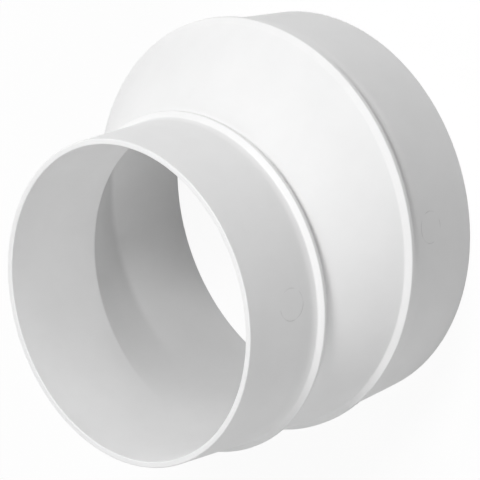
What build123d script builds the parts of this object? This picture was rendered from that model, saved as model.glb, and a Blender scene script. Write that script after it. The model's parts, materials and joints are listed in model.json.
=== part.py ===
from build123d import *
import os

# Eccentric reducer for round air ducts, moulded in one piece. It stands on its large end.
# The large duct's axis is the Z axis. The small duct's axis is parallel to it and moved
# along X, so that both ducts run level on the +X side. Sizes are in millimetres.

# Outside diameters where the ducts seat, which are their nominal sizes
LARGE_SEAT_DIAMETER = 125.0
SMALL_SEAT_DIAMETER = 100.0

# Large spigot, from its mouth up to the stop face of its collar
LARGE_LEAD_IN = 1.8
LARGE_MOUTH_WALL = 1.9
LARGE_SPIGOT_LENGTH = 29.9
LARGE_SEAT_LENGTH = 5.0
LARGE_BORE_DRAFT = 0.3

# Collar of the large spigot, which slopes down to the foot of the cone
LARGE_COLLAR_HEIGHT = 1.35
LARGE_COLLAR_LAND = 1.3
LARGE_COLLAR_SLOPE = 1.3
CONE_FOOT_DEPTH = 0.55

# Oblique cone, from the foot at the large collar to the neck under the small collar
CONE_LENGTH = 21.0
INSIDE_TOP_DROP = 3.2
INSIDE_FOOT_DROP = 1.3
NECK_BEND_LENGTH = 1.6
THROAT_BEND_LENGTH = 3.0
NECK_LENGTH = 1.7

# Collar of the small spigot, whose front slopes up to its crest from a slight flare of the spigot
SMALL_COLLAR_HEIGHT = 2.1
SMALL_COLLAR_LAND = 1.1
SMALL_COLLAR_SLOPE = 1.25
SMALL_FLARE_LENGTH = 1.4
SMALL_FLARE_RISE = 0.45

# Small spigot, from the foot of its collar's slope up to its mouth
SMALL_LEAD_IN = 0.7
SMALL_MOUTH_WALL = 1.8
SMALL_SPIGOT_LENGTH = 27.75
SMALL_SEAT_LENGTH = 6.75
SMALL_BORE_DRAFT = 0.6

# Roundings
LARGE_MOUTH_ROUNDING = 0.25
SMALL_MOUTH_ROUNDING = 0.7
BORE_ROUNDING = 0.45
CREST_ROUNDING = 0.5
SLOPE_ROUNDING = 0.8
FLARE_ROUNDING = 7.5
SHARP = 0.0

# Sections through each bend of the cone
BEND_SECTIONS = 5

# Radii
large_seat_radius = LARGE_SEAT_DIAMETER / 2
large_mouth_radius = large_seat_radius - LARGE_LEAD_IN
large_crest_radius = large_seat_radius + LARGE_COLLAR_HEIGHT
large_bore_radius = large_mouth_radius - LARGE_MOUTH_WALL
throat_radius = large_bore_radius - LARGE_BORE_DRAFT
cone_foot_radius = large_seat_radius - CONE_FOOT_DEPTH
small_seat_radius = SMALL_SEAT_DIAMETER / 2
small_mouth_radius = small_seat_radius - SMALL_LEAD_IN
small_crest_radius = small_seat_radius + SMALL_COLLAR_HEIGHT
small_flare_radius = small_seat_radius + SMALL_FLARE_RISE
small_bore_radius = small_mouth_radius - SMALL_MOUTH_WALL
neck_bore_radius = small_bore_radius - SMALL_BORE_DRAFT
axis_offset = large_seat_radius - small_seat_radius

# Heights above the large mouth
large_stop = LARGE_SPIGOT_LENGTH
large_crest = large_stop + LARGE_COLLAR_LAND
cone_foot = large_crest + LARGE_COLLAR_SLOPE
cone_top = cone_foot + CONE_LENGTH
small_stop = cone_top + NECK_LENGTH
small_crest = small_stop + SMALL_COLLAR_LAND
small_slope_foot = small_crest + SMALL_COLLAR_SLOPE
small_flare_start = small_slope_foot + SMALL_FLARE_LENGTH
small_mouth = small_slope_foot + SMALL_SPIGOT_LENGTH
neck_bend_top = cone_top + NECK_BEND_LENGTH / 2
inside_cone_top = cone_top - INSIDE_TOP_DROP
inside_cone_foot = cone_foot - INSIDE_FOOT_DROP
inside_cone_length = inside_cone_top - inside_cone_foot
throat_bend_bottom = inside_cone_foot - THROAT_BEND_LENGTH / 2

large_axis = Axis.Z
small_axis = Axis((axis_offset, 0, 0), (0, 0, 1))
small_plane = Plane.XZ.shift_origin((axis_offset, 0, 0))


def depths(bend_length):
    """Evenly spaced depths into a bend, from where it leaves the duct to where it meets the cone."""
    return [bend_length * step / (BEND_SECTIONS - 1) for step in range(BEND_SECTIONS)]


def bend_share(depth, bend_length, cone_length):
    """Share of the cone that a parabolic bend has covered at a depth into it."""
    return depth**2 / (2 * bend_length * cone_length)


def cone_section(height, share, top_radius, foot_radius):
    """Round section of a cone, at a share of the way from the small duct to the large one."""
    with BuildSketch(Plane((axis_offset * (1 - share), 0, height))) as section:
        Circle(top_radius + share * (foot_radius - top_radius))
    return section.sketch


outside_bend = [
    cone_section(
        neck_bend_top - depth,
        bend_share(depth, NECK_BEND_LENGTH, CONE_LENGTH),
        small_seat_radius,
        cone_foot_radius,
    )
    for depth in depths(NECK_BEND_LENGTH)
]
outside_foot = cone_section(cone_foot, 1, small_seat_radius, cone_foot_radius)
inside_top = cone_section(inside_cone_top, 0, neck_bore_radius, throat_radius)
inside_bend = [
    cone_section(
        throat_bend_bottom + depth,
        1 - bend_share(depth, THROAT_BEND_LENGTH, inside_cone_length),
        neck_bore_radius,
        throat_radius,
    )
    for depth in depths(THROAT_BEND_LENGTH)
]

with BuildPart() as reducer:
    # Outside of the large spigot and its collar
    with BuildSketch(Plane.XZ):
        with BuildLine():
            FilletPolyline(
                (0, 0),
                (large_mouth_radius, 0),
                (large_seat_radius, large_stop - LARGE_SEAT_LENGTH),
                (large_seat_radius, large_stop),
                (large_crest_radius, large_stop),
                (large_crest_radius, large_crest),
                (cone_foot_radius, cone_foot),
                (0, cone_foot),
                radius=[
                    SHARP,
                    LARGE_MOUTH_ROUNDING,
                    SHARP,
                    SHARP,
                    SHARP,
                    CREST_ROUNDING,
                    SHARP,
                    SHARP,
                ],
                close=True,
            )
        make_face()
    revolve(axis=large_axis)

    # Outside of the small spigot, its collar and the neck
    with BuildSketch(small_plane):
        with BuildLine():
            FilletPolyline(
                (0, neck_bend_top),
                (small_seat_radius, neck_bend_top),
                (small_seat_radius, small_stop),
                (small_crest_radius, small_stop),
                (small_crest_radius, small_crest),
                (small_flare_radius, small_slope_foot),
                (small_seat_radius, small_flare_start),
                (small_seat_radius, small_slope_foot + SMALL_SEAT_LENGTH),
                (small_mouth_radius, small_mouth),
                (0, small_mouth),
                radius=[
                    SHARP,
                    SHARP,
                    SHARP,
                    SHARP,
                    CREST_ROUNDING,
                    SLOPE_ROUNDING,
                    FLARE_ROUNDING,
                    SHARP,
                    SMALL_MOUTH_ROUNDING,
                    SHARP,
                ],
                close=True,
            )
        make_face()
    revolve(axis=small_axis)

    # Outside of the cone, which bends out of the neck and runs straight to its foot
    loft(outside_bend)
    loft([outside_bend[-1], outside_foot], ruled=True)

    # Bore of the small spigot
    with BuildSketch(small_plane):
        with BuildLine():
            Polyline(
                (0, inside_cone_top),
                (neck_bore_radius, inside_cone_top),
                (small_bore_radius, small_mouth),
                (0, small_mouth),
                close=True,
            )
        make_face()
    revolve(axis=small_axis, mode=Mode.SUBTRACT)

    # Inside of the cone, which runs straight from a sharp edge and bends into the throat
    loft([inside_top, inside_bend[-1]], ruled=True, mode=Mode.SUBTRACT)
    loft(inside_bend, mode=Mode.SUBTRACT)

    # Bore of the large spigot
    with BuildSketch(Plane.XZ):
        with BuildLine():
            Polyline(
                (0, 0),
                (large_bore_radius, 0),
                (throat_radius, throat_bend_bottom),
                (0, throat_bend_bottom),
                close=True,
            )
        make_face()
    revolve(axis=large_axis, mode=Mode.SUBTRACT)

    # Rounded edges of the bores at the mouths
    large_bore_edge = reducer.edges().group_by(Axis.Z)[0].sort_by(SortBy.RADIUS)[0]
    small_bore_edge = reducer.edges().group_by(Axis.Z)[-1].sort_by(SortBy.RADIUS)[0]
    fillet([large_bore_edge, small_bore_edge], radius=BORE_ROUNDING)

reducer.part.label = "reducer"

os.makedirs("parts", exist_ok=True)
export_step(reducer.part, "parts/reducer.step")
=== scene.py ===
import json
import logging
from dataclasses import dataclass, replace
from enum import Enum

import bpy
import numpy as np
from mathutils import Matrix, Vector


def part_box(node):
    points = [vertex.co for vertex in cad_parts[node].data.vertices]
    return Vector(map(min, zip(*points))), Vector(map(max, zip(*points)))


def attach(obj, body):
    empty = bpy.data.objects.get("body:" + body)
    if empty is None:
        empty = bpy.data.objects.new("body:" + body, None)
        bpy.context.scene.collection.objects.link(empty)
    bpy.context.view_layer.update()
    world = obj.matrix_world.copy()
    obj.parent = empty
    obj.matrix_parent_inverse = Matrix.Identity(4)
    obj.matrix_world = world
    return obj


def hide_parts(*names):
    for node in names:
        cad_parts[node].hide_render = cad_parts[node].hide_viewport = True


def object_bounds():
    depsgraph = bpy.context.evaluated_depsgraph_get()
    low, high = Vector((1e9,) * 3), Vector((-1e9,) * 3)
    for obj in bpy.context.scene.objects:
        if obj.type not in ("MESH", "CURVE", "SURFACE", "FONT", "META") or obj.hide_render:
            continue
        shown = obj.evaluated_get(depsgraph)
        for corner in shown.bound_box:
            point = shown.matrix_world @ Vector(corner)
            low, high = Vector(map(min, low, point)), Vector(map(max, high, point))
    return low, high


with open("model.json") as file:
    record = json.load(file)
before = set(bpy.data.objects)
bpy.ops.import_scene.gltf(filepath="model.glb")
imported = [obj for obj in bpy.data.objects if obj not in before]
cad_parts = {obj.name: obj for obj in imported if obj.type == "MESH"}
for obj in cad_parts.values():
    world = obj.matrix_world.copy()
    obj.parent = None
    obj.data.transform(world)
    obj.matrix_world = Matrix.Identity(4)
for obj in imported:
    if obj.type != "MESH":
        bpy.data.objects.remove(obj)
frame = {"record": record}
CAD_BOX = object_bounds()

LOG = logging.getLogger("duct_reducer")
MM = 0.001
WHITE = (1.0, 1.0, 1.0, 1.0)

Point = tuple[float, float, float]
Span = tuple[float, float]
Value = bpy.types.NodeSocket | float


class NodeSheet:
    """The node tree of a material or of the world, with short ways to add nodes and wires."""

    def __init__(self, tree: bpy.types.NodeTree) -> None:
        """Clears the node tree of a material or of the world, and keeps it."""
        self.tree = tree
        self.tree.nodes.clear()

    def add(self, kind: str, **values: object) -> bpy.types.Node:
        """Adds a node and sets its properties, or its inputs where a name isn't a property.

        Args:
            kind: The node's type name.
            **values: Property or input names with their values; an underscore stands for a space.

        Returns:
            The new node.
        """
        node = self.tree.nodes.new(kind)
        for name, value in values.items():
            if hasattr(node, name):
                setattr(node, name, value)
            else:
                node.inputs[name.replace("_", " ")].default_value = value
        return node

    def wire(self, source: bpy.types.NodeSocket, target: bpy.types.NodeSocket) -> None:
        """Joins an output to an input."""
        self.tree.links.new(source, target)

    def feed(self, node: bpy.types.Node, *values: Value | Point) -> bpy.types.Node:
        """Gives a node's inputs their values in order, each an output to join or a plain value.

        Args:
            node: The node.
            *values: One value for each of the node's first inputs.

        Returns:
            The same node.
        """
        for socket, value in zip(node.inputs, values):
            if isinstance(value, bpy.types.NodeSocket):
                self.wire(value, socket)
            else:
                socket.default_value = value
        return node

    def math(self, operation: str, *values: Value, clamp: bool = False) -> bpy.types.NodeSocket:
        """Adds a calculation with numbers and returns its result, held between 0 and 1 if clamped."""
        node = self.add("ShaderNodeMath", operation=operation, use_clamp=clamp)
        return self.feed(node, *values).outputs["Value"]

    def vector(self, operation: str, *values: bpy.types.NodeSocket | Point) -> bpy.types.Node:
        """Adds a calculation with vectors and returns its node, which has outputs Vector and Value."""
        return self.feed(self.add("ShaderNodeVectorMath", operation=operation), *values)

    def noise(
        self, place: bpy.types.NodeSocket, size: float, detail: float, roughness: float = 0.5
    ) -> bpy.types.NodeSocket:
        """Adds a pattern of noise.

        Args:
            place: Coordinates.
            size: Size of the pattern, in metres.
            detail: Number of finer layers in the pattern.
            roughness: Strength of each finer layer.

        Returns:
            The noise, mostly between 0.3 and 0.7.
        """
        node = self.add("ShaderNodeTexNoise", Scale=1 / size, Detail=detail, Roughness=roughness)
        self.wire(place, node.inputs["Vector"])
        return node.outputs["Fac"]

    def spread(
        self, value: bpy.types.NodeSocket, source: Span, target: Span = (0.0, 1.0)
    ) -> bpy.types.NodeSocket:
        """Spreads a value's source span evenly over the target span and returns it, held at the ends."""
        node = self.add("ShaderNodeMapRange")
        return self.feed(node, value, *source, *target).outputs["Result"]

    def seen_directly(self) -> bpy.types.NodeSocket:
        """Adds a value that is 1 for camera, glossy and transmission rays and 0 for the rest.

        Returns:
            The value.
        """
        path = self.add("ShaderNodeLightPath").outputs
        mirrored = self.math("MAXIMUM", path["Is Glossy Ray"], path["Is Transmission Ray"])
        return self.math("MAXIMUM", path["Is Camera Ray"], mirrored)


@dataclass(frozen=True)
class InsertMark:
    """The faint round line that a mould insert leaves on the wall.

    Attributes:
        centre: Middle of the line on the wall's outside, in metres.
        outward: Direction out of the wall.
        radius: Radius of the line, in metres.
        width: Width of the line, in metres.
        reach: Depth under the centre down to which the surface takes the line, in metres.
    """

    centre: Point
    outward: Point
    radius: float
    width: float = 0.5 * MM
    reach: float = 1.0 * MM


@dataclass(frozen=True)
class MouldedPlastic:
    """White moulded plastic with a satin skin.

    Attributes:
        name: Name of the material.
        white: Base colour, as one grey level.
        mottle: Swing of the base colour over patches.
        patch: Size of the patches, in metres.
        roughness: Lowest and highest roughness.
        rub_ratio: How many times finer the uneven gloss is than the patches of colour.
        noise_span: Levels of noise between which colour and roughness swing.
        ior: Index of refraction.
        grain: Size of the skin's grain, in metres.
        grain_depth: Depth of the grain, in metres.
        ripple: Size of the long ripples in the skin, in metres.
        ripple_depth: Depth of the ripples, in metres.
        mark_depth: Depth of the lines of the mould inserts, in metres.
        mark_painted_shade: Share of the base colour that the lines take away, as painted shade in their
            grooves.
        mark_break: Size of the breaks in the lines, in metres.
        mark_span: Levels of noise between which a line fades in.
        marks: The mould inserts' lines.
    """

    name: str = "white_plastic_satin"
    white: float = 0.90
    mottle: float = 0.012
    patch: float = 14 * MM
    roughness: Span = (0.58, 0.70)
    rub_ratio: float = 2.3
    noise_span: Span = (0.3, 0.7)
    ior: float = 1.49
    grain: float = 0.35 * MM
    grain_depth: float = 0.002 * MM
    ripple: float = 6.0 * MM
    ripple_depth: float = 0.004 * MM
    mark_depth: float = 0.03 * MM
    mark_painted_shade: float = 0.2
    mark_break: float = 4.0 * MM
    mark_span: Span = (0.42, 0.62)
    marks: tuple[InsertMark, ...] = ()

    def material(self) -> bpy.types.Material:
        """Makes the material.

        Returns:
            A new material with its nodes.
        """
        made = bpy.data.materials.new(self.name)
        made.use_nodes = True
        sheet = NodeSheet(made.node_tree)
        place = sheet.add("ShaderNodeTexCoord").outputs["Object"]
        shader = sheet.add("ShaderNodeBsdfPrincipled", IOR=self.ior)
        lines = self._lines(sheet, place)
        sheet.wire(self._colour(sheet, place, lines), shader.inputs["Base Color"])
        sheet.wire(self._gloss(sheet, place), shader.inputs["Roughness"])
        sheet.wire(self._skin(sheet, place, lines), shader.inputs["Normal"])
        output = sheet.add("ShaderNodeOutputMaterial")
        sheet.wire(shader.outputs["BSDF"], output.inputs["Surface"])
        return made

    def _lines(self, sheet: NodeSheet, place: bpy.types.NodeSocket) -> bpy.types.NodeSocket:
        """Draws the broken lines of the mould inserts.

        A line falls from 1 on a circle about the mark's centre to 0 half a line's width away from
        that circle. Only the outside of the wall takes it, and noise takes parts of it away.

        Args:
            sheet: The material's nodes.
            place: Object coordinates.

        Returns:
            A value from 0 off the lines to 1 on them.
        """
        lines = 0.0
        for mark in self.marks:
            away = sheet.vector("SUBTRACT", place, mark.centre).outputs["Vector"]
            gap = sheet.vector("LENGTH", away).outputs["Value"]
            rise = sheet.vector("DOT_PRODUCT", away, mark.outward).outputs["Value"]
            off = sheet.math("ABSOLUTE", sheet.math("SUBTRACT", gap, mark.radius))
            near = sheet.math("SUBTRACT", 1.0, sheet.math("DIVIDE", off, mark.width / 2), clamp=True)
            outside = sheet.math("GREATER_THAN", rise, -mark.reach)
            lines = sheet.math("ADD", lines, sheet.math("MULTIPLY", near, outside))
        breaks = sheet.noise(place, self.mark_break, detail=1.0)
        return sheet.math("MULTIPLY", lines, sheet.spread(breaks, self.mark_span))

    def _colour(
        self, sheet: NodeSheet, place: bpy.types.NodeSocket, lines: bpy.types.NodeSocket
    ) -> bpy.types.NodeSocket:
        """Makes the colour, which drifts over patches of noise and carries painted shade on the lines.

        Args:
            sheet: The material's nodes.
            place: Object coordinates.
            lines: Value from 0 off the mould inserts' lines to 1 on them.

        Returns:
            The colour.
        """
        patches = sheet.noise(place, self.patch, detail=4.0, roughness=0.55)
        tones = (self.white - self.mottle, self.white + self.mottle)
        tone = sheet.spread(patches, self.noise_span, tones)
        # Painted shade: the base colour is darkened along the insert lines to stand in for the shade
        # inside their shallow grooves.
        unshaded_share = sheet.math("SUBTRACT", 1.0, sheet.math("MULTIPLY", lines, self.mark_painted_shade))
        level = sheet.math("MULTIPLY", tone, unshaded_share)
        return sheet.feed(sheet.add("ShaderNodeCombineColor"), level, level, level).outputs["Color"]

    def _gloss(self, sheet: NodeSheet, place: bpy.types.NodeSocket) -> bpy.types.NodeSocket:
        """Returns the roughness, which drifts over finer patches of noise than the colour."""
        rub = sheet.noise(place, self.patch / self.rub_ratio, detail=5.0, roughness=0.6)
        return sheet.spread(rub, self.noise_span, self.roughness)

    def _skin(
        self, sheet: NodeSheet, place: bpy.types.NodeSocket, lines: bpy.types.NodeSocket
    ) -> bpy.types.NodeSocket:
        """Makes the relief: grain and ripples, less the lines of the mould inserts.

        Args:
            sheet: The material's nodes.
            place: Object coordinates.
            lines: Value from 0 off the mould inserts' lines to 1 on them.

        Returns:
            The surface's normal.
        """
        grain = sheet.math("MULTIPLY", sheet.noise(place, self.grain, detail=2.0), self.grain_depth)
        ripple = sheet.math("MULTIPLY", sheet.noise(place, self.ripple, detail=1.0), self.ripple_depth)
        cut = sheet.math("MULTIPLY", lines, self.mark_depth)
        relief = sheet.math("SUBTRACT", sheet.math("ADD", grain, ripple), cut)
        bump = sheet.add("ShaderNodeBump", Strength=1.0, Distance=1.0)
        sheet.wire(relief, bump.inputs["Height"])
        return bump.outputs["Normal"]


class Turn(Enum):
    """How a corner of the wall's section is taken."""

    ARC = "a circular rounding, given by its radius"
    BEND = "a parabolic bend, given by its height along the axis"


@dataclass(frozen=True)
class Corner:
    """A corner of the wall's section, which is a circle about one of the two axes.

    Attributes:
        centre: Distance of the circle's centre from the large duct's axis, along X, in metres.
        radius: Radius of the circle, in metres.
        height: Height of the circle above the large mouth, in metres.
        size: Radius of an arc or height of a bend, in metres.
        rows: Rows of faces on the straight wall that follows the corner.
        turn: How the corner is taken.
    """

    centre: float
    radius: float
    height: float
    size: float
    rows: int = 1
    turn: Turn = Turn.ARC


@dataclass(frozen=True)
class SpigotFace:
    """The outside of a spigot, which tapers from the end of its seat to its mouth.

    Attributes:
        centre: Distance of the spigot's axis from the large duct's axis, along X, in metres.
        seat: Radius of the seat, in metres.
        lead_in: How much smaller the radius is at the mouth, in metres.
        seat_end: Height of the seat's end, in metres.
        mouth: Height of the mouth, in metres.
    """

    centre: float
    seat: float
    lead_in: float
    seat_end: float
    mouth: float

    def mark(self, angle: float, height: float, radius: float) -> InsertMark:
        """Places a mould insert's line.

        The wall's radius falls evenly from the seat's end to the mouth.

        Args:
            angle: Direction of the mark about the spigot's axis, from -X towards +Y, in degrees.
            height: Height of the mark, in metres.
            radius: Radius of the line, in metres.

        Returns:
            The mark, on the wall.
        """
        share = np.clip((height - self.seat_end) / (self.mouth - self.seat_end), 0.0, 1.0)
        wall = float(self.seat - self.lead_in * share)
        a = np.radians(angle)
        outward = (-float(np.cos(a)), float(np.sin(a)), 0.0)
        return InsertMark((self.centre + wall * outward[0], wall * outward[1], height), outward, radius)


@dataclass
class ReducerShell:
    """The reducer's one-piece wall: two spigots on parallel axes, two stop collars and an oblique cone.

    All sizes are in metres. Heights are above the large mouth.

    Attributes:
        large_seat: Outside radius where the large duct seats.
        small_seat: Outside radius where the small duct seats.
        axis_offset: Distance between the two ducts' axes, along X.
        large_stop: Height of the large collar's stop face.
        small_mouth: Height of the small mouth.
        large_crest: Outside radius of the large collar.
        small_crest: Outside radius of the small collar.
        large_lead_in: How much smaller the large spigot's radius is at its mouth.
        large_wall: Wall of the large spigot at its mouth.
        large_seat_length: Length of the large spigot's seat, below the stop face.
        large_bore_draft: How much smaller the large bore's radius is at the throat.
        large_land: Length of the large collar's crest.
        large_slope: Length of the large collar's slope towards the cone.
        cone_foot_depth: Depth of the cone's foot under the large seat.
        cone_length: Height of the cone's outside.
        inside_top_drop: Depth of the inner cone's top under the outer one's.
        inside_foot_drop: Depth of the inner cone's foot under the outer one's.
        neck_bend: Height of the bend from the cone to the neck.
        throat_bend: Height of the bend from the inner cone to the large bore.
        neck_length: Height of the neck between the cone and the small collar.
        small_land: Length of the small collar's crest.
        small_slope: Length of the small collar's slope towards the duct.
        flare_length: Length of the small spigot's flare at the slope's foot.
        flare_rise: Height of that flare over the small seat.
        small_lead_in: How much smaller the small spigot's radius is at its mouth.
        small_seat_length: Length from the slope's foot to the end of the small spigot's seat.
        small_bore_draft: How much smaller the small bore's radius is at the inner cone.
        small_wall: Wall of the small spigot at its mouth.
        flare_rounding: Rounding where the flare starts.
        slope_rounding: Rounding at the foot of the small collar's slope.
        large_mouth_rounding: Outer rounding of the large mouth.
        small_mouth_rounding: Outer rounding of the small mouth.
        bore_rounding: Inner rounding of both mouths.
        crest_rounding: Rounding between each collar's crest and its slope.
        stop_rounding: Rounding between each collar's crest and its square side.
        root_rounding: Rounding between each collar's square side and the wall under it.
        foot_rounding: Rounding between the large collar's slope and the cone.
        seat_rounding: Rounding where each seat passes into its taper.
        throat_edge: Rounding between the small bore and the inner cone.
        mark_radius: Radius of the mould inserts' lines.
        small_mark: Angle from -X towards +Y, in degrees, and height of the small spigot's mark.
        large_mark: Angle and height of the large spigot's mark.
        turns: Faces round the wall.
        arc_rows: Rows of faces in each rounding or bend.
        taper_rows: Rows of faces on each spigot's taper.
        seat_rows: Rows of faces on each seat.
        long_rows: Rows of faces on each bore and on each side of the cone.
        guard: Distance of the row that keeps a straight wall flat next to its rounding.
        guard_share: Largest share of a straight wall that this distance takes.
        finish: The wall's material.
    """

    large_seat: float
    small_seat: float
    axis_offset: float
    large_stop: float
    small_mouth: float
    large_crest: float
    small_crest: float
    large_lead_in: float = 1.8 * MM
    large_wall: float = 1.9 * MM
    large_seat_length: float = 5.0 * MM
    large_bore_draft: float = 0.3 * MM
    large_land: float = 1.3 * MM
    large_slope: float = 1.3 * MM
    cone_foot_depth: float = 0.55 * MM
    cone_length: float = 21.0 * MM
    inside_top_drop: float = 3.2 * MM
    inside_foot_drop: float = 1.3 * MM
    neck_bend: float = 1.6 * MM
    throat_bend: float = 3.0 * MM
    neck_length: float = 1.7 * MM
    small_land: float = 1.1 * MM
    small_slope: float = 1.25 * MM
    flare_length: float = 1.4 * MM
    flare_rise: float = 0.45 * MM
    small_lead_in: float = 0.7 * MM
    small_seat_length: float = 6.75 * MM
    small_bore_draft: float = 0.6 * MM
    small_wall: float = 1.8 * MM
    flare_rounding: float = 7.5 * MM
    slope_rounding: float = 0.8 * MM
    large_mouth_rounding: float = 0.25 * MM
    small_mouth_rounding: float = 0.35 * MM
    bore_rounding: float = 0.35 * MM
    crest_rounding: float = 0.5 * MM
    stop_rounding: float = 0.12 * MM
    root_rounding: float = 0.2 * MM
    foot_rounding: float = 1.6 * MM
    seat_rounding: float = 12.0 * MM
    throat_edge: float = 2.0 * MM
    mark_radius: float = 4.75 * MM
    small_mark: tuple[float, float] = (82.7, 67.75 * MM)
    large_mark: tuple[float, float] = (81.7, 20.0 * MM)
    turns: int = 384
    arc_rows: int = 6
    taper_rows: int = 10
    seat_rows: int = 3
    long_rows: int = 12
    guard: float = 0.05 * MM
    guard_share: float = 0.2
    finish: MouldedPlastic = MouldedPlastic()

    @classmethod
    def from_frame(cls, record: dict, node: str) -> "ReducerShell":
        """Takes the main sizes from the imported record's mounts and the CAD node's box.

        Args:
            record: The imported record.
            node: Name of the CAD node.

        Returns:
            A shell of the node's size.
        """
        mounts = {mount["name"]: mount for mount in record["mounts"]}
        low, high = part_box(node)
        offset = mounts["small_spigot"]["pos_m"][0]
        return cls(
            large_seat=mounts["large_spigot"]["dims"]["r_mm"] * MM,
            small_seat=mounts["small_spigot"]["dims"]["r_mm"] * MM,
            axis_offset=offset,
            large_stop=mounts["large_stop"]["pos_m"][2],
            small_mouth=high.z,
            large_crest=-low.x,
            small_crest=high.x - offset,
        )

    @property
    def large_seat_end(self) -> float:
        """Height of the large seat's end, where the taper to the mouth starts."""
        return self.large_stop - self.large_seat_length

    @property
    def cone_foot(self) -> float:
        """Height of the foot of the cone's outside."""
        return self.large_stop + self.large_land + self.large_slope

    @property
    def cone_top(self) -> float:
        """Height of the top of the cone's outside, at the neck."""
        return self.cone_foot + self.cone_length

    @property
    def small_stop(self) -> float:
        """Height of the small collar's square side."""
        return self.cone_top + self.neck_length

    @property
    def small_slope_foot(self) -> float:
        """Height of the foot of the small collar's slope."""
        return self.small_stop + self.small_land + self.small_slope

    @property
    def small_seat_end(self) -> float:
        """Height of the small seat's end, where the taper to the mouth starts."""
        return self.small_slope_foot + self.small_seat_length

    def corners(self) -> list[Corner]:
        """Lists the corners of the wall's section, up the outside and down the inside.

        Returns:
            The corners, in order round the closed section.
        """
        large_mouth = self.large_seat - self.large_lead_in
        large_bore = large_mouth - self.large_wall
        throat = large_bore - self.large_bore_draft
        small_mouth = self.small_seat - self.small_lead_in
        small_bore = small_mouth - self.small_wall
        neck_bore = small_bore - self.small_bore_draft
        cone_foot_radius = self.large_seat - self.cone_foot_depth
        foot, top, stop = self.cone_foot, self.cone_top, self.small_stop
        inside_foot = foot - self.inside_foot_drop
        slope_foot = self.small_slope_foot
        flare_start = slope_foot + self.flare_length
        side = self.axis_offset
        return [
            Corner(0.0, large_mouth, 0.0, self.large_mouth_rounding, self.taper_rows),
            Corner(0.0, self.large_seat, self.large_seat_end, self.seat_rounding, self.seat_rows),
            Corner(0.0, self.large_seat, self.large_stop, self.root_rounding),
            Corner(0.0, self.large_crest, self.large_stop, self.stop_rounding),
            Corner(0.0, self.large_crest, self.large_stop + self.large_land, self.crest_rounding),
            Corner(0.0, cone_foot_radius, foot, self.foot_rounding, self.long_rows),
            Corner(side, self.small_seat, top, self.neck_bend, turn=Turn.BEND),
            Corner(side, self.small_seat, stop, self.root_rounding),
            Corner(side, self.small_crest, stop, self.stop_rounding),
            Corner(side, self.small_crest, stop + self.small_land, self.crest_rounding),
            Corner(side, self.small_seat + self.flare_rise, slope_foot, self.slope_rounding),
            Corner(side, self.small_seat, flare_start, self.flare_rounding, self.seat_rows),
            Corner(side, self.small_seat, self.small_seat_end, self.seat_rounding, self.taper_rows),
            Corner(side, small_mouth, self.small_mouth, self.small_mouth_rounding),
            Corner(side, small_bore, self.small_mouth, self.bore_rounding, self.long_rows),
            Corner(side, neck_bore, top - self.inside_top_drop, self.throat_edge, self.long_rows),
            Corner(0.0, throat, inside_foot, self.throat_bend, self.long_rows, Turn.BEND),
            Corner(0.0, large_bore, 0.0, self.bore_rounding),
        ]

    def section(self) -> np.ndarray:
        """Works out the wall's section as rows of circles.

        Each corner is a rational quadratic curve from a point on the wall before it to a point on
        the wall after it, with the corner as its control point. An arc of radius R that turns by
        an angle t starts R tan(t/2) from its corner and weighs the corner by cos(t/2). A bend
        starts half its height above or below the corner and weighs it by 1. Between corners the
        rows are evenly spaced, with one more close to each end, which keeps the shading of the
        straight wall flat up to its roundings.

        Returns:
            An array of rows by (centre, radius, height), in metres.
        """
        corners = self.corners()
        at = np.array([(c.centre, c.radius, c.height) for c in corners])
        size = np.array([c.size for c in corners])
        bends = np.array([c.turn is Turn.BEND for c in corners])
        leg = np.roll(at, -1, axis=0) - at
        out = leg / np.linalg.norm(leg, axis=1, keepdims=True)
        into = np.roll(out, 1, axis=0)
        flat_in = into[:, 1:] / np.linalg.norm(into[:, 1:], axis=1, keepdims=True)
        flat_out = out[:, 1:] / np.linalg.norm(out[:, 1:], axis=1, keepdims=True)
        turn = np.arccos(np.clip((flat_in * flat_out).sum(axis=1), -1.0, 1.0))
        weight = np.where(bends, 1.0, np.cos(turn / 2))[:, None, None]
        reach = size * np.tan(turn / 2)
        half = size / 2
        upright_in = np.where(bends, np.abs(into[:, 2]), 1.0)
        upright_out = np.where(bends, np.abs(out[:, 2]), 1.0)
        start = at - into * np.where(bends, half / upright_in, reach)[:, None]
        end = at + out * np.where(bends, half / upright_out, reach)[:, None]
        t = np.linspace(0.0, 1.0, self.arc_rows + 1)[None, :, None]
        before, amid, after = (1 - t) ** 2, 2 * weight * t * (1 - t), t**2
        curve = before * start[:, None] + amid * at[:, None] + after * end[:, None]
        curve /= before + amid + after
        following = np.roll(start, -1, axis=0)
        rows = []
        for bow, first, last, corner in zip(curve, end, following, corners):
            run = np.linalg.norm(last - first)
            edge = min(self.guard / run, self.guard_share)
            share = np.r_[edge, np.linspace(0.0, 1.0, corner.rows + 1)[1:-1], 1.0 - edge]
            rows += [bow, first + share[:, None] * (last - first)]
        return np.vstack(rows)

    def surface(self) -> tuple[np.ndarray, np.ndarray]:
        """Carries the section round.

        A row of centre c, radius r and height h gives the points (c + r cos a, r sin a, h) for
        angles a in equal steps.

        Returns:
            The points, as an array of n by 3, and the four-sided faces, as an array of m by 4.
        """
        rows = self.section()
        angle = np.linspace(0.0, 2 * np.pi, self.turns, endpoint=False)
        centre, radius, height = (rows[:, i : i + 1] for i in range(3))
        x = centre + radius * np.cos(angle)
        y = radius * np.sin(angle)
        z = np.broadcast_to(height, x.shape)
        points = np.stack([x, y, z], axis=-1).reshape(-1, 3)
        index = np.arange(points.shape[0]).reshape(x.shape)
        beside, above = np.roll(index, -1, axis=1), np.roll(index, -1, axis=0)
        faces = np.stack([index, beside, np.roll(above, -1, axis=1), above], axis=-1).reshape(-1, 4)
        return points, faces

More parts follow.
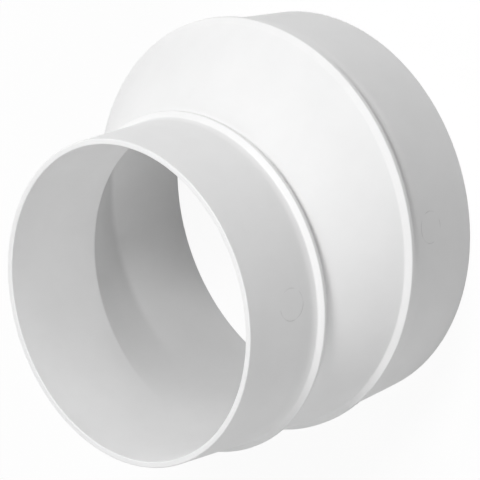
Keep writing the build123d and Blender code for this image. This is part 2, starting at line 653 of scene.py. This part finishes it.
    def marks(self) -> tuple[InsertMark, ...]:
        """Places the mould inserts' lines.

        Returns:
            One mark for each spigot.
        """
        small = SpigotFace(
            self.axis_offset, self.small_seat, self.small_lead_in, self.small_seat_end, self.small_mouth
        )
        large = SpigotFace(0.0, self.large_seat, self.large_lead_in, self.large_seat_end, 0.0)
        placed = ((small, self.small_mark), (large, self.large_mark))
        return tuple(face.mark(*spot, self.mark_radius) for face, spot in placed)

    def build(self) -> bpy.types.Object:
        """Makes the shell's mesh and gives it its finish.

        Returns:
            The shell's object, at the origin.
        """
        points, faces = self.surface()
        mesh = bpy.data.meshes.new("reducer_shell")
        mesh.vertices.add(len(points))
        mesh.vertices.foreach_set("co", points.astype(np.float32).ravel())
        mesh.loops.add(faces.size)
        mesh.loops.foreach_set("vertex_index", faces.astype(np.int32).ravel())
        mesh.polygons.add(len(faces))
        mesh.polygons.foreach_set("loop_start", np.arange(0, faces.size, 4, dtype=np.int32))
        mesh.update(calc_edges=True)
        mesh.validate()
        mesh.polygons.foreach_set("use_smooth", np.ones(len(mesh.polygons), dtype=bool))
        piece = bpy.data.objects.new("reducer_shell", mesh)
        bpy.context.scene.collection.objects.link(piece)
        mesh.materials.append(replace(self.finish, marks=self.marks()).material())
        return piece


@dataclass(frozen=True)
class Softbox:
    """A square soft lamp that looks at the middle of the object.

    Attributes:
        name: Name of the lamp.
        azimuth: Direction to the lamp about +Z, from +X, in degrees.
        elevation: Direction to the lamp above the floor, in degrees.
        power: Power of the lamp, in watts.
        width: Side of the lamp, in metres.
        distance: Distance from the object's middle, in metres.
    """

    name: str
    azimuth: float
    elevation: float
    power: float
    width: float = 0.44
    distance: float = 0.95

    def build(self, middle: Vector) -> bpy.types.Object:
        """Makes the lamp.

        Args:
            middle: The point that the lamp looks at.

        Returns:
            The lamp's object.
        """
        a, e = np.radians(self.azimuth), np.radians(self.elevation)
        towards = Vector((np.cos(a) * np.cos(e), np.sin(a) * np.cos(e), np.sin(e)))
        lamp = bpy.data.lights.new(self.name, "AREA")
        lamp.shape = "SQUARE"
        lamp.size = self.width
        lamp.energy = self.power
        made = bpy.data.objects.new(self.name, lamp)
        bpy.context.scene.collection.objects.link(made)
        made.location = middle + towards * self.distance
        made.rotation_euler = towards.to_track_quat("Z", "Y").to_euler()
        made.visible_camera = False
        return made


@dataclass(frozen=True)
class PaleFloor:
    """A floor that is pale to the lamps and nearly plain white to the eye.

    Attributes:
        name: Name of the material.
        grey: Colour in which the floor throws light back, as one grey level.
        glow: Share of plain white in what is seen of the floor; the rest takes the object's shadow.
    """

    name: str = "pale_floor"
    grey: float = 0.45
    glow: float = 0.92

    def material(self) -> bpy.types.Material:
        """Makes the material.

        Returns:
            A new material with its nodes.
        """
        made = bpy.data.materials.new(self.name)
        made.use_nodes = True
        sheet = NodeSheet(made.node_tree)
        seen = sheet.seen_directly()
        pale = sheet.add("ShaderNodeBsdfDiffuse")
        sheet.wire(sheet.spread(seen, (0.0, 1.0), (self.grey, 1.0)), pale.inputs["Color"])
        white = sheet.add("ShaderNodeEmission", Color=WHITE, Strength=1.0)
        share = sheet.math("MULTIPLY", seen, self.glow)
        mix = sheet.add("ShaderNodeMixShader")
        sheet.feed(mix, share, pale.outputs["BSDF"], white.outputs["Emission"])
        output = sheet.add("ShaderNodeOutputMaterial")
        sheet.wire(mix.outputs["Shader"], output.inputs["Surface"])
        return made


@dataclass
class Studio:
    """The plain white room: floor, surrounding light, soft lamps and camera.

    Attributes:
        floor_size: Side of the floor, in metres.
        floor: The floor's material.
        fill: Strength of the surrounding light.
        eye: Place of the camera, in metres.
        right: Direction to the right of the picture.
        down: Direction down the picture.
        focal: Focal length, in pixels of the picture.
        picture: Side of the picture, in pixels.
        sensor: Width of the sensor, in millimetres.
        sight: Nearest and farthest distance that the camera sees, in metres.
        lamps: The soft lamps.
    """

    floor_size: float = 12.0
    floor: PaleFloor = PaleFloor()
    fill: float = 0.02
    eye: Point = (-0.2578, 0.6017, 0.6998)
    right: Point = (-0.00057, 0.74125, -0.67123)
    down: Point = (0.95999, 0.18836, 0.20719)
    focal: float = 3086.3
    picture: float = 480.0
    sensor: float = 36.0
    sight: Span = (0.01, 100.0)
    lamps: tuple[Softbox, ...] = (
        Softbox("key_softbox", azimuth=163.0, elevation=55.0, power=4.5, width=0.3),
        Softbox("front_softbox", azimuth=67.5, elevation=42.0, power=2.25),
        Softbox("left_softbox", azimuth=202.5, elevation=42.0, power=1.25),
        Softbox("low_left_softbox", azimuth=180.0, elevation=18.0, power=1.55),
        Softbox("far_softbox", azimuth=22.5, elevation=42.0, power=1.4),
        Softbox("low_side_softbox", azimuth=45.0, elevation=18.0, power=0.65),
        Softbox("low_back_softbox", azimuth=270.0, elevation=18.0, power=2.5),
    )

    def build_floor(self) -> bpy.types.Object:
        """Lays the floor under the large mouth.

        Returns:
            The floor's object.
        """
        half = self.floor_size / 2
        side = np.array([-half, half])
        x, y = np.meshgrid(side, side)
        points = np.stack([x.ravel(), y.ravel(), np.zeros(4)], axis=-1)
        mesh = bpy.data.meshes.new("floor")
        mesh.from_pydata(points.tolist(), [], [(0, 1, 3, 2)])
        floor = bpy.data.objects.new("floor", mesh)
        bpy.context.scene.collection.objects.link(floor)
        mesh.materials.append(self.floor.material())
        return floor

    def build_surround(self) -> None:
        """Lights the room evenly, and shows it white where it is seen."""
        world = bpy.data.worlds.new("white_room")
        bpy.context.scene.world = world
        world.use_nodes = True
        sheet = NodeSheet(world.node_tree)
        fill = sheet.add("ShaderNodeBackground", Color=WHITE, Strength=self.fill)
        white = sheet.add("ShaderNodeBackground", Color=WHITE, Strength=1.0)
        mix = sheet.add("ShaderNodeMixShader")
        sheet.feed(mix, sheet.seen_directly(), fill.outputs["Background"], white.outputs["Background"])
        output = sheet.add("ShaderNodeOutputWorld")
        sheet.wire(mix.outputs["Shader"], output.inputs["Surface"])

    def build_camera(self) -> bpy.types.Object:
        """Sets up the camera at the photograph's viewing angle.

        Returns:
            The camera's object.
        """
        lens = bpy.data.cameras.new("camera")
        lens.sensor_width = self.sensor
        lens.lens = self.focal / self.picture * self.sensor
        lens.clip_start, lens.clip_end = self.sight
        camera = bpy.data.objects.new("camera", lens)
        bpy.context.scene.collection.objects.link(camera)
        right = Vector(self.right).normalized()
        up = -Vector(self.down)
        up = (up - right * up.dot(right)).normalized()
        turn = Matrix((right, up, right.cross(up))).transposed()
        camera.matrix_world = Matrix.Translation(self.eye) @ turn.to_4x4()
        bpy.context.scene.camera = camera
        return camera

    def build(self, middle: Vector) -> None:
        """Builds the whole room.

        Args:
            middle: Middle of the object.
        """
        self.build_floor()
        self.build_surround()
        for lamp in self.lamps:
            lamp.build(middle)
        self.build_camera()
        bpy.context.scene.view_settings.view_transform = "Standard"


def main() -> None:
    """Builds the shell and the room, and reports each piece."""
    logging.basicConfig(level=logging.INFO)
    shell = ReducerShell.from_frame(frame["record"], "reducer")
    piece = shell.build()
    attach(piece, "root")
    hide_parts("reducer")
    LOG.info("%s: %d faces", piece.name, len(piece.data.polygons))
    low, high = CAD_BOX
    Studio().build((low + high) / 2)


if __name__ == "__main__":
    main()
